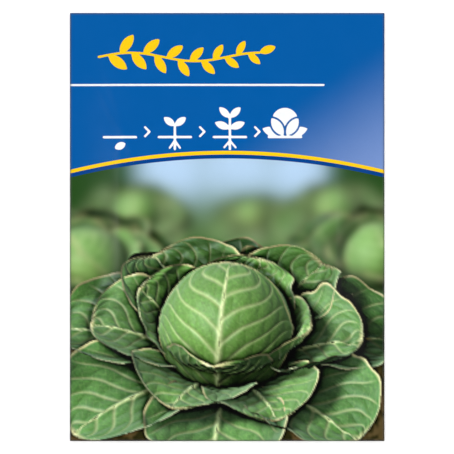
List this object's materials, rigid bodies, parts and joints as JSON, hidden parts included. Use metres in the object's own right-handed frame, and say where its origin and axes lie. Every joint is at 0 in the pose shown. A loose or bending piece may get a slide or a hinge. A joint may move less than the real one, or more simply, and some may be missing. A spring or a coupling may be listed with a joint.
{
  "type": "seed packet",
  "caption": "Flat folded paper seed packet with a printed front, glued side flaps, a closing flap on the back and a sealed inner sachet of vegetable seeds.",
  "frame": {"origin": "on the surface that the packet lies on, under the middle of the packet", "axes": "+Z out of the printed front, +Y towards the packet's top edge, +X to the right as the front is read"},
  "size_m": [0.1174, 0.16, 0.0048],
  "materials": {
    "printed_paper": "coated paper, offset printed in blue and greens, semi-gloss varnish",
    "foil_laminate": "paper and aluminium foil laminate, satin",
    "seed_coat": "mottled grey-brown seed coat, satin"
  },
  "bodies": {
    "root": {"paper_packet": "printed_paper", "sachet_back_film": "foil_laminate", "sachet_front_film": "foil_laminate", "seed_01": "seed_coat", "seed_02": "seed_coat", "seed_03": "seed_coat", "seed_04": "seed_coat", "seed_05": "seed_coat", "seed_06": "seed_coat", "seed_07": "seed_coat", "seed_08": "seed_coat", "seed_09": "seed_coat", "seed_10": "seed_coat", "seed_11": "seed_coat", "seed_12": "seed_coat", "seed_13": "seed_coat", "seed_14": "seed_coat", "seed_15": "seed_coat", "seed_16": "seed_coat", "seed_17": "seed_coat", "seed_18": "seed_coat", "seed_19": "seed_coat", "seed_20": "seed_coat"}
  },
  "joints": []
}
